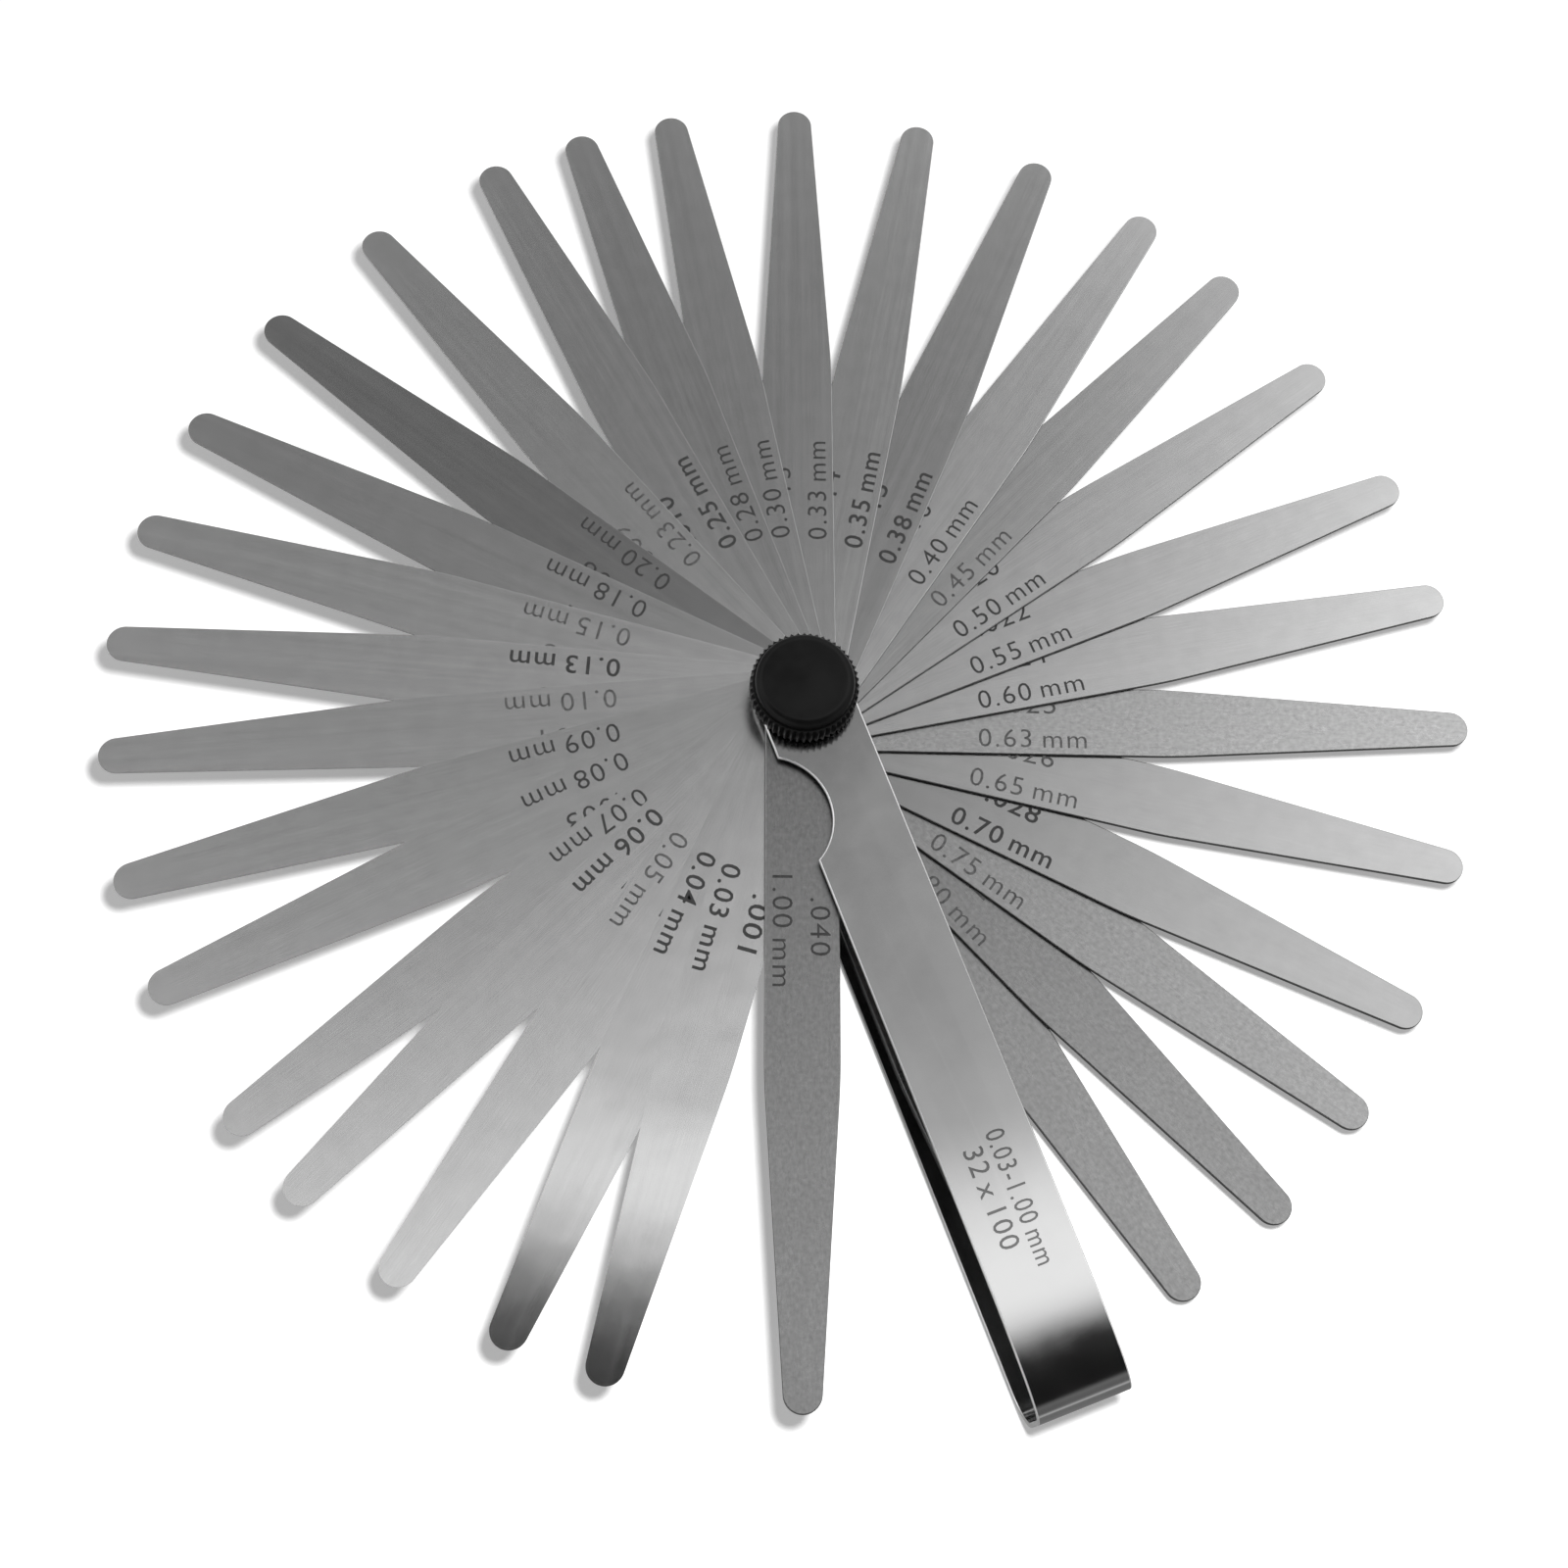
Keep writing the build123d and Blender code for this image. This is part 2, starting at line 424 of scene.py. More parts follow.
def add_droop(tree, along, droop, scratched):
    """Under the scratches, a broad bump: the blade bends more and more beyond a place."""
    split = tree.nodes.new("ShaderNodeSeparateXYZ")
    plug(tree, along, split.inputs[0])
    beyond = add_math(tree, "SUBTRACT", split.outputs["X"], DROOP_START)
    bent = add_math(tree, "POWER", add_math(tree, "MAXIMUM", beyond, 0.0), 2.0)
    slack = use_group(tree, CLOUDING, Vector=along, Scale=2.0, Contrast=1.0)
    height = add_math(tree, "MULTIPLY", bent, -droop / (1 - DROOP_START))
    height = add_math(tree, "MULTIPLY_ADD", slack["Patches"], SLACKNESS, height)
    hanging = tree.nodes.new("ShaderNodeBump")
    hanging.inputs["Distance"].default_value = DROOP_SCALE
    plug(tree, height, hanging.inputs["Height"])
    plug(tree, hanging.outputs["Normal"], scratched.inputs["Normal"])


FINE_STEEL = make_blade_steel("blade_fine_ground", 0.46, 0.56, 900.0, 60.0, 0.20, 30.0)
COARSE_STEEL = make_blade_steel("blade_coarse_ground", 0.3, 0.65, 300.0, 3.0, 0.27, 150.0)
FOIL_STEEL = make_blade_steel("blade_foil", 0.5, 0.56, 900.0, 60.0, 0.2, 30.0, droop=0.1)
# Nearly black edge finish: painted shade for the shadowed gaps between stacked blades; its
# roughness is real.
EDGE_SHADE_GREYS = (grey(0.04), grey(0.1))
EDGE_SHADE_STEEL = mottled_material("blade_edge_painted_shade", 900.0, 2.0, EDGE_SHADE_GREYS, (0.35, 0.5), 1.0)[0]
print("blade finishes:", FINE_STEEL.name, COARSE_STEEL.name, FOIL_STEEL.name, EDGE_SHADE_STEEL.name)

# %% [markdown]
# ## The blades
# One outline serves all thirty-two: a round end about the bolt, parallel sides, a gentle taper
# that begins a little past the middle, and a round tip. A large arc eases the corner where the
# taper begins. Only thickness, height and angle differ. The angle at rest comes from the
# blade's joint, whose lower stop is the folded position.

# %% The blade outline
TIP_RADIUS = 2.5
TAPER_START = 52.5
TAPER_BLEND_RADIUS = 100.0
BORE_RADIUS = 2.55
SWING_JOINT = "_swing"


def blade_outline():
    """Half a blade from bolt to tip, mirrored; the bolt is at the origin, the tip along +X."""
    half = BLADE_WIDTH / 2
    tip_centre = BLADE_LENGTH - half - TIP_RADIUS
    run = tip_centre - TAPER_START
    lean = math.atan2(half, run) - math.asin(TIP_RADIUS / math.hypot(run, half))
    lean_degrees = math.degrees(lean)
    setback = TAPER_BLEND_RADIUS * math.tan(lean / 2)
    blend_centre = (TAPER_START - setback, half - TAPER_BLEND_RADIUS)
    side = arc_points(blend_centre, TAPER_BLEND_RADIUS, 90, 90 - lean_degrees, 6)
    side += arc_points((tip_centre, 0), TIP_RADIUS, 90 - lean_degrees, 0, 14)
    other_side = [(x, -y) for x, y in reversed(side[:-1])]
    return side + other_side + arc_points((0, 0), half, 270, 90, 40)


BLADE_OUTLINE = blade_outline()
BLADE_BORE = arc_points((0, 0), BORE_RADIUS, 0, 350, 35)
print("outline points:", len(BLADE_OUTLINE))

# %% [markdown]
# ## Thirty-two blades
# Every blade comes from the same outline and bore, extruded to its own thickness, with a small
# round on the rim so that the edge catches the light. The rim gets the nearly black edge finish,
# which is painted shade, by the slope of each face. The UV map is laid before the blade is
# turned, while it still lies along X.

# %% Which blade gets which grind
RIM = 0.11
RIM_STEEPNESS = 0.35
COARSE_BLADES = ("0.63", "0.75", "0.80", "0.85", "0.90", "1.00")
FOILS = ("0.03", "0.04")
# Per-blade grey scales: partly each blade's own grey, partly painted shade for how the light falls
# on its direction.
TONES_AND_SHADE = {
    "0.03": 0.95, "0.04": 0.92, "0.05": 1.0, "0.06": 1.0, "0.07": 0.97, "0.08": 0.97,
    "0.09": 1.0, "0.10": 1.1, "0.13": 1.2, "0.15": 1.15, "0.18": 0.93, "0.20": 0.64,
    "0.23": 1.0, "0.25": 0.9, "0.28": 0.83, "0.30": 0.86, "0.33": 0.85, "0.35": 0.93,
    "0.38": 0.78, "0.40": 1.03, "0.45": 0.85, "0.50": 0.95, "0.55": 0.93, "0.60": 0.92,
    "0.63": 0.75, "0.65": 0.73, "0.70": 0.62, "0.75": 0.58, "0.80": 0.47, "0.85": 0.5,
    "0.90": 0.58, "1.00": 0.45,
}


def blade_finish(size_mark):
    """The face steel of a blade."""
    if size_mark in FOILS:
        return FOIL_STEEL
    return COARSE_STEEL if size_mark in COARSE_BLADES else FINE_STEEL


print("coarse blades:", len(COARSE_BLADES), " foils:", len(FOILS), " tones:", len(TONES_AND_SHADE))

# %% Blade meshes
MAP_STRIP = 0.3


def map_grain(mesh, number):
    """UV map in decimetres: U from bolt to tip, V across, each blade in a strip of its own."""
    layer = mesh.uv_layers.new(name=GRAIN_MAP)
    for loop in mesh.loops:
        place = mesh.vertices[loop.vertex_index].co
        layer.data[loop.index].uv = (place.x / 100, place.y / 100 + MAP_STRIP * number)


def store_tone_and_shade(mesh, tone_and_shade):
    """One number for the whole mesh, which its material reads: a scale on the blade's grey, partly
    its own grey and partly painted shade.
    """
    attribute = mesh.attributes.new(TONE_AND_SHADE, "FLOAT", "POINT")
    attribute.data.foreach_set("value", [tone_and_shade] * len(mesh.vertices))


def blade_placement(node, swing):
    """From the outline's own frame to the row frame, in millimetres."""
    low, _ = box_mm(node)
    return Matrix.Translation((0, 0, low.z)) @ Matrix.Rotation(math.radians(swing - 90), 4, "Z")


def blade_mesh(number, size_mark):
    """A blade along X with its grain, its tone and its two finishes."""
    thickness = float(size_mark)
    mesh = plate_mesh([BLADE_OUTLINE, BLADE_BORE], thickness, min(RIM, thickness / 5))
    mark_flat_rims(mesh)
    # Steep and downward rim faces get the nearly black edge finish, which is painted shade.
    for face in mesh.polygons:
        face.material_index = 1 if -FLAT < face.normal.z < RIM_STEEPNESS else 0
    map_grain(mesh, number)
    store_tone_and_shade(mesh, TONES_AND_SHADE[size_mark])
    return mesh


blades = []
swings = [joint for joint in frame["joints"] if joint["name"].endswith(SWING_JOINT)]
for number, joint in enumerate(swings):
    node = joint["name"].removesuffix(SWING_JOINT)
    size_mark = node.removeprefix("blade_").replace("_", ".")
    placement = blade_placement(node, -joint["range_deg"][0])
    mesh = blade_mesh(number, size_mark)
    mesh.transform(placement)
    finishes = [blade_finish(size_mark), EDGE_SHADE_STEEL]
    slot = "ground_steel" if size_mark in COARSE_BLADES else "blade_steel"
    add_piece(f"{node}_ground", mesh, finishes, joint["child"], slot, node)
    blades.append((size_mark, placement, joint["child"]))
print("blades made:", len(blades))

# %% [markdown]
# ## Size marks
# Each blade carries its thickness in millimetres on one side of its middle and in thousandths
# of an inch on the other, etched black. Text objects give the figures. Each is squeezed to a
# fixed length, so that every mark starts and ends at the same distance from the bolt, and
# turned into a mesh a few thousandths of a millimetre high, which the gap between two blades
# leaves room for.

# %% Figures as meshes
LETTER_GAP = 1.12
WORD_GAP = 0.5


def text_mesh(words, start, end, base, height, depth, weight=0.0):
    """Figures as a mesh: from start to end along X, standing on Y = base, depth thick."""
    text = bpy.data.curves.new("figures", "FONT")
    text.body = words
    text.size = 1.0
    text.space_character = LETTER_GAP
    text.space_word = WORD_GAP
    text.resolution_u = 3
    text.offset = weight
    mesh = drawn_mesh(text)
    across = [v.co.x for v in mesh.vertices]
    up = [v.co.y for v in mesh.vertices]
    wide = (end - start) / (max(across) - min(across))
    tall = height / (max(up) - min(up))
    move = Matrix.Translation((start - min(across) * wide, base - min(up) * tall, 0))
    mesh.transform(move @ Matrix.Diagonal((wide, tall, 1, 1)))
    thicken(mesh, depth)
    return mesh


def thicken(mesh, depth):
    """Closes flat figures into slabs: a floor at height 0, a top at depth and walls between."""
    flat = bmesh.new()
    flat.from_mesh(mesh)
    bmesh.ops.remove_doubles(flat, verts=flat.verts, dist=WELD)
    flat.verts.index_update()
    count = len(flat.verts)
    points = [(v.co.x, v.co.y, 0.0) for v in flat.verts]
    points += [(v.co.x, v.co.y, depth) for v in flat.verts]
    faces = [[v.index for v in face.verts] for face in flat.faces]
    faces += [[corner + count for corner in corners] for corners in faces]
    rims = [[v.index for v in edge.verts] for edge in flat.edges if edge.is_boundary]
    faces += [[first, second, second + count, first + count] for first, second in rims]
    flat.free()
    mesh.clear_geometry()
    mesh.from_pydata(points, [], faces)
    weld(mesh)


def joined(meshes):
    """Several meshes as one."""
    work = bmesh.new()
    for mesh in meshes:
        work.from_mesh(mesh)
        bpy.data.meshes.remove(mesh)
    result = bpy.data.meshes.new("joined")
    work.to_mesh(result)
    work.free()
    return result


print("letters stand", LETTER_GAP, "times their usual step apart")

# %% [markdown]
# ## Fresh and worn marks
# Some marks are deep and black, others have gone pale with handling, and a few were struck
# heavier. Two blacks and two weights of stroke are enough to tell them apart.

# %% Marks on the blades
INK_HEIGHT = 0.003
INCH_PER_MM = 0.04
MM_MARK = {"start": 25.2, "end": 40.4, "base": -4.0, "height": 2.7}
INCH_MARK = {"start": 28.3, "end": 36.2, "base": 1.05, "height": 2.7}
BOLD_MARKS = ("0.03", "0.04", "0.06", "0.13", "0.25", "0.35", "0.38", "0.70")
FAINT_MARKS = ("0.05", "0.10", "0.15", "0.23", "0.45", "0.63", "0.65", "0.75", "0.80")
BOLD = 0.008
LIGHT = -0.004


def make_ink(name, dark, light):
    """A dull black that is worn in small patches."""
    return mottled_material(name, 1500.0, 3.0, (grey(dark), grey(light)), (0.5, 0.75), 0.0)[0]


BLACK_INK = make_ink("etched_black", 0.008, 0.03)
WORN_INK = make_ink("etched_worn", 0.02, 0.08)
for size_mark, placement, body in blades:
    thickness = float(size_mark)
    weight = BOLD if size_mark in BOLD_MARKS else LIGHT
    inches = f"{thickness * INCH_PER_MM:.3f}".lstrip("0")
    figures = joined([
        text_mesh(f"{size_mark} mm", depth=INK_HEIGHT, weight=weight, **MM_MARK),
        text_mesh(inches, depth=INK_HEIGHT, weight=weight, **INCH_MARK),
    ])
    figures.transform(placement @ Matrix.Translation((0, 0, thickness)))
    ink = WORN_INK if size_mark in FAINT_MARKS else BLACK_INK
    add_piece("figures_" + size_mark.replace(".", "_"), figures, [ink], body, "blade_steel")
print("marked from", blades[0][0], "to", blades[-1][0], "mm")

# %% [markdown]
# ## The holder
# The holder is one strip of nickel-plated sheet. Its blank is cut flat, with a round end at
# each side, a hole for the bolt in both and a thumb notch in one, and then folded twice. The
# mesh is made in the same order: the blank is drawn flat, cut across where it will bend, and
# each point is then carried along the folded line.

# %% The two corners
SHEET = 0.7
LOWER_BEND = 7.0
UPPER_BEND = 25.0
LEAF_BOW = 17.5
LINE_STEP = 0.1


def lower_turn(share):
    """The lower corner is a plain arc: how far it has turned, in degrees, at each share."""
    return 90 * share


def upper_turn(share):
    """The upper leaf first bows gently and then turns the corner."""
    return LEAF_BOW * share ** 2 + (90 - LEAF_BOW) * share ** 12


def bend_extent(length, turn):
    """How far a bend reaches along the leaf and across it."""
    steps = round(length / LINE_STEP)
    angles = [math.radians(turn((step + 0.5) / steps)) for step in range(steps)]
    reach = sum(math.cos(angle) for angle in angles) * length / steps
    rise = sum(math.sin(angle) for angle in angles) * length / steps
    return reach, rise


lower_reach, lower_rise = bend_extent(LOWER_BEND, lower_turn)
upper_reach, upper_rise = bend_extent(UPPER_BEND, upper_turn)
FIRST_BEND = HOLDER_REACH - SHEET / 2 - lower_reach
END_FACE = FIRST_BEND + LOWER_BEND
SECOND_BEND = END_FACE + holder_high.z - holder_low.z - SHEET - lower_rise - upper_rise
UPPER_LEAF = SECOND_BEND + UPPER_BEND
STRIP_RUN = UPPER_LEAF + HOLDER_REACH - SHEET / 2 - upper_reach


print(f"straight leaves: {FIRST_BEND:.1f} and {STRIP_RUN - UPPER_LEAF:.1f} mm")

# %% The folded line
def strip_angle(along):
    """How far the strip has turned at a place along it, in degrees: 0 to 180."""
    if along < FIRST_BEND:
        return 0
    if along < END_FACE:
        return lower_turn((along - FIRST_BEND) / LOWER_BEND)
    if along < SECOND_BEND:
        return 90
    if along < UPPER_LEAF:
        return 180 - upper_turn((UPPER_LEAF - along) / UPPER_BEND)
    return 180


def strip_line():
    """The middle line of the folded strip, as (along, y, z) places at small steps."""
    along, y, z = 0.0, 0.0, holder_low.z + SHEET / 2
    line = [(along, y, z)]
    while along < STRIP_RUN:
        step = min(LINE_STEP, STRIP_RUN - along)
        angle = math.radians(strip_angle(along + step / 2))
        y -= step * math.cos(angle)
        z += step * math.sin(angle)
        along += step
        line.append((along, y, z))
    return line


LINE = strip_line()
print(f"strip before folding: {STRIP_RUN + HOLDER_WIDTH:.1f} mm long")
print(f"its middle line ends at y {LINE[-1][1]:.2f}, z {LINE[-1][2]:.2f} mm")

# %% [markdown]
# ## Bending the blank
# A bend keeps the middle of the sheet at its length, the outside stretches and the inside
# shrinks. So each point of the flat blank goes to its place on the middle line, and then in or
# out from it, square to the sheet. The blank needs edges across it wherever it turns.

# %% Carrying a point along the fold
def fold(along, depth):
    """Y and Z of a point of the blank: along the strip, and deep into it from outside."""
    angle = math.radians(strip_angle(along))
    inward = depth - SHEET / 2
    if along <= FIRST_BEND:
        return -along, holder_low.z + depth
    if along >= UPPER_LEAF:
        return along - STRIP_RUN, holder_high.z - depth
    place = along / LINE_STEP
    index = min(int(place), len(LINE) - 2)
    share = place - index
    y = LINE[index][1] * (1 - share) + LINE[index + 1][1] * share
    z = LINE[index][2] * (1 - share) + LINE[index + 1][2] * share
    return y + inward * math.sin(angle), z + inward * math.cos(angle)


print("the fold's end, outside:", [round(v, 2) for v in fold(END_FACE, 0)])

# %% The blank's outline
HOLDER_RIM = 0.2
NECK_HOLE = 5.3
NOTCH_RADIUS = 8.8
NOTCH_CENTRE = 15.1
NOTCH_DEPTH = 4.35


def notch_points(side_x):
    """The thumb notch, cut into the edge at side_x, in the order of the outline."""
    middle = (side_x - NOTCH_DEPTH + NOTCH_RADIUS, STRIP_RUN - NOTCH_CENTRE)
    opening = math.degrees(math.acos((NOTCH_RADIUS - NOTCH_DEPTH) / NOTCH_RADIUS))
    return arc_points(middle, NOTCH_RADIUS, 180 + opening, 180 - opening, 24)


def blank_outlines():
    """X is across the strip, mirrored so that the outside of the fold faces down."""
    half = HOLDER_WIDTH / 2
    near_end = arc_points((0, 0), half, 180, 360, 40)
    far_end = arc_points((0, STRIP_RUN), half, 0, 180, 40)
    outline = near_end + notch_points(half) + far_end
    hole = NECK_HOLE / 2
    neck = [(-hole, -hole), (-hole, hole), (hole, hole), (hole, -hole)]
    bore = arc_points((0, STRIP_RUN), BORE_RADIUS, 350, 0, 35)
    return [outline, neck, bore]


print("outline points of the blank:", len(blank_outlines()[0]))

# %% Cutting and folding the blank
BEND_STEPS = 18
RIM_INDEX = 2


def cut_across(mesh, positions):
    """New edge rings at these places along the strip, so that it can bend there."""
    work = bmesh.new()
    work.from_mesh(mesh)
    across = (0, 1, 0)
    for position in positions:
        parts = work.verts[:] + work.edges[:] + work.faces[:]
        bmesh.ops.bisect_plane(work, geom=parts, plane_co=(0, position, 0), plane_no=across)
    work.to_mesh(mesh)
    work.free()


def bend_lines():
    """Where the blank is cut across; in the upper bend the lines crowd at its tight end."""
    shares = [step / BEND_STEPS for step in range(BEND_STEPS + 1)]
    lines = [FIRST_BEND + LOWER_BEND * share for share in shares]
    lines += [UPPER_LEAF - UPPER_BEND * (1 - (1 - share) ** 2) ** 0.5 for share in shares]
    return lines


def make_holder():
    """The blank, its rims marked for their own finish, folded point by point."""
    mesh = plate_mesh(blank_outlines(), SHEET, HOLDER_RIM)
    cut_across(mesh, bend_lines())
    mark_flat_rims(mesh)
    # Rim faces get the lighter rim finish: a painted highlight.
    for face in mesh.polygons:
        face.material_index = 0 if abs(face.normal.z) > FLAT else RIM_INDEX
    for vertex in mesh.vertices:
        y, z = fold(vertex.co.y, vertex.co.z)
        vertex.co = (-vertex.co.x, y, z)
    return mesh


holder_mesh = make_holder()
print("holder faces:", len(holder_mesh.polygons))

# %% [markdown]
# ## The range stamped on the leaf
# The upper leaf shows the range of the set in sunk figures. Sunk figures only show because
# their floor is dark and their walls catch the light, so the figures are cut into the leaf
# with a Boolean and the floor of each gets a darker finish: painted shade in the recess.

# %% The stamps
STAMP_DEPTH = 0.12
STAMP_INDEX = 1
STAMPS = (
    {"words": "0.03-1.00 mm", "start": 64.2, "end": 82.3, "base": 0.3, "height": 2.6},
    {"words": "32 x 100", "start": 65.5, "end": 79.0, "base": -3.3, "height": 2.7},
)


def stamp_cutter():
    """All stamped figures as one closed mesh that reaches a little above the leaf."""
    above = 0.1
    slabs = []
    for stamp in STAMPS:
        slabs.append(text_mesh(depth=STAMP_DEPTH + above, **stamp))
    cutter = joined(slabs)
    place = Matrix.Translation((0, 0, holder_high.z - STAMP_DEPTH))
    cutter.transform(place @ Matrix.Rotation(math.radians(-90), 4, "Z"))
    return cutter


def subtract(mesh, cutter):
    """Boolean difference of two meshes that share their list of materials."""
    body = bpy.data.objects.new("body", mesh)
    tool = bpy.data.objects.new("tool", cutter)
    scene.collection.objects.link(body)
    scene.collection.objects.link(tool)
    cut = body.modifiers.new("cut", "BOOLEAN")
    cut.operation = "DIFFERENCE"
    cut.solver = "EXACT"
    cut.object = tool
    graph = bpy.context.evaluated_depsgraph_get()
    result = bpy.data.meshes.new_from_object(body.evaluated_get(graph))
    bpy.data.objects.remove(body)
    bpy.data.objects.remove(tool)
    return result


print("stamps:", len(STAMPS), " depth:", STAMP_DEPTH, "mm")

# %% [markdown]
# ## Nickel plate
# The plate is bright and smooth, with fine polishing lines along the leaf. Between the knob and
# the stamped figures the thumb has dulled it. The rolled rim is rougher and painted lighter, a
# painted highlight that shows as a thin bright line, and the floor of each figure is rougher and
# painted darker, painted shade in the sunk figures. All three are one recipe with other numbers.

# %% The holder's finishes
THUMB_START = (-0.078, -0.060)
THUMB_END = (-0.050, -0.008)
THUMB_DULLING = 0.42


def make_nickel(name, light, rough):
    """Bright nickel plate, polished along the leaf and duller where the thumb holds it."""
    colours = (grey(light - 0.05), grey(light))
    material, tree, shader, _ = mottled_material(name, 160.0, 2.0, colours, rough, 1.0)
    place = tree.nodes.new("ShaderNodeTexCoord").outputs["Object"]
    split = tree.nodes.new("ShaderNodeSeparateXYZ")
    plug(tree, place, split.inputs[0])
    held = ramp(tree, split.outputs["Y"], THUMB_START, 0.0, THUMB_DULLING)
    held = ramp(tree, split.outputs["Y"], THUMB_END, held, 0.0)
    shade = shader.inputs["Base Color"].links[0].from_socket
    plug(tree, blend_colour(tree, held, shade, grey(0)), shader.inputs["Base Color"])
    turn = tree.nodes.new("ShaderNodeMapping")
    turn.inputs["Rotation"].default_value = (0, 0, math.radians(90))
    plug(tree, place, turn.inputs["Vector"])
    lines = use_group(tree, GROUND_LINES, Vector=turn.outputs[0], Scale=9000.0, Stretch=50.0)
    add_bump(tree, shader, lines["Lines"], 0.08, 0.000005)
    return material


NICKEL = make_nickel("nickel_plate", 0.45, (0.10, 0.17))
# The figures' dark floor is painted shade in the recess; its roughness is real.
STAMP_FLOOR_SHADE = make_nickel("stamped_nickel_painted_shade", 0.2, (0.3, 0.4))
# The rim's light grey is a painted highlight, the bright line along the rolled rim; its roughness
# is real.
RIM_HIGHLIGHT_NICKEL = make_nickel("nickel_rim_painted_highlight", 0.85, (0.4, 0.5))
print("holder finishes:", NICKEL.name, STAMP_FLOOR_SHADE.name, RIM_HIGHLIGHT_NICKEL.name)

# %% Stamping the leaf
cutter = stamp_cutter()
for mesh in (holder_mesh, cutter):
    for finish in (NICKEL, STAMP_FLOOR_SHADE, RIM_HIGHLIGHT_NICKEL):
        mesh.materials.append(finish)
for face in cutter.polygons:
    face.material_index = STAMP_INDEX
stamped = subtract(holder_mesh, cutter)
add_piece("holder_strip", stamped, [], "holder_body", "holder_nickel", "holder")
print("holder faces:", len(stamped.polygons))

# %% [markdown]
# ## Turned pieces
# The bolt, the washer and the knob's drum are all round, so each is half a cross section
# spun about the bolt. The rings share their points at the seam and close at the axis.

# %% Spinning a section
SEGMENTS = 128


def turned_mesh(section, segments=SEGMENTS, closed=False):
    """Spins (radius, height) points about Z; a closed section makes a ring."""
    work = bmesh.new()
    rings = []
    for radius, height in section:
        if radius == 0:
            rings.append([work.verts.new((0, 0, height))] * segments)
            continue
        ring = []
        for step in range(segments):
            angle = 2 * math.pi * step / segments
            x, y = radius * math.cos(angle), radius * math.sin(angle)
            ring.append(work.verts.new((x, y, height)))
        rings.append(ring)
    pairs = list(zip(rings, rings[1:]))
    if closed:
        pairs.append((rings[-1], rings[0]))
    for lower, upper in pairs:
        for step in range(segments):
            after = (step + 1) % segments
            corners = [lower[step], lower[after], upper[after], upper[step]]
            work.faces.new(list(dict.fromkeys(corners)))
    bmesh.ops.recalc_face_normals(work, faces=work.faces)
    mesh = bpy.data.meshes.new("turned")
    work.to_mesh(mesh)
    work.free()
    soften(mesh)
    return mesh


def soften(mesh, limit=35.0):
    """Smooth shading that breaks at edges sharper than the limit."""
    for face in mesh.polygons:
        face.use_smooth = True
    mesh.set_sharp_from_angle(angle=math.radians(limit))


print("one turn has", SEGMENTS, "segments")

# %% [markdown]
# ## Bolt and washer
# The bolt is a low round head, a square neck that sits in the lower leaf so that it can't turn,
# and a plain shank. The washer keeps the knob from scoring the upper leaf. Only their rims ever
# show. Turned corners are never quite sharp, so each gets three points instead of one.

# %% Turned steel
EASE = 0.12


def eased(radius, height, inward, upward):
    """Three points that round a turned corner; inward and upward give the side it is on."""
    points = []
    for angle in (0, 45, 90):
        turn = math.radians(angle)
        points.append((
            radius - inward * EASE * (1 - math.cos(turn)),
            height - upward * EASE * (1 - math.sin(turn)),
        ))
    return points


def make_turned_steel():
    """Bright steel with faint turning marks."""
    colours = (grey(0.42), grey(0.56))
    finish = mottled_material("turned_steel", 700.0, 2.0, colours, (0.25, 0.38), 1.0)
    material, tree, shader, patches = finish
    add_bump(tree, shader, patches, 0.1, 0.00001)
    return material


TURNED_STEEL = make_turned_steel()
print("finish:", TURNED_STEEL.name)

# %% The bolt
NECK_SIDE = 5.2
BOLT_RADIUS = 2.5
CHAMFER = 0.4


def make_neck(low, high):
    """The square neck between two heights."""
    work = bmesh.new()
    size = Matrix.Diagonal((NECK_SIDE, NECK_SIDE, high - low, 1))
    middle = Matrix.Translation((0, 0, (low + high) / 2))
    bmesh.ops.create_cube(work, size=1, matrix=middle @ size)
    mesh = bpy.data.meshes.new("neck")
    work.to_mesh(mesh)
    work.free()
    return mesh


def make_bolt():
    """Head, square neck and shank in one mesh."""
    low, high = box_mm("pivot_bolt")
    head_top = holder_low.z
    neck_top = head_top + SHEET
    head = [(0, low.z), (high.x - CHAMFER, low.z), (high.x, low.z + CHAMFER)]
    head += eased(high.x, head_top, 1, 1)
    head.append((0, head_top))
    shank = [(0, neck_top), (BOLT_RADIUS, neck_top), (BOLT_RADIUS, high.z - CHAMFER)]
    shank += [(BOLT_RADIUS - CHAMFER, high.z), (0, high.z)]
    return joined([turned_mesh(head), make_neck(head_top, neck_top), turned_mesh(shank)])


bolt_mesh = make_bolt()
soften(bolt_mesh)
add_piece("bolt_turned", bolt_mesh, [TURNED_STEEL], "holder_body", "bolt_steel", "pivot_bolt")
print("bolt faces:", len(bolt_mesh.polygons))

# %% The washer
def make_washer():
    """A flat ring with its outer corners eased."""
    low, high = box_mm("washer")
    section = [(BORE_RADIUS, low.z), (high.x - EASE, low.z), (high.x, low.z + EASE)]
    section += eased(high.x, high.z, 1, 1)
    section += [(BORE_RADIUS, high.z)]
    return turned_mesh(section, closed=True)


washer_mesh = make_washer()
add_piece("washer_turned", washer_mesh, [TURNED_STEEL], "washer_body", "bolt_steel", "washer")
print("washer faces:", len(washer_mesh.polygons))
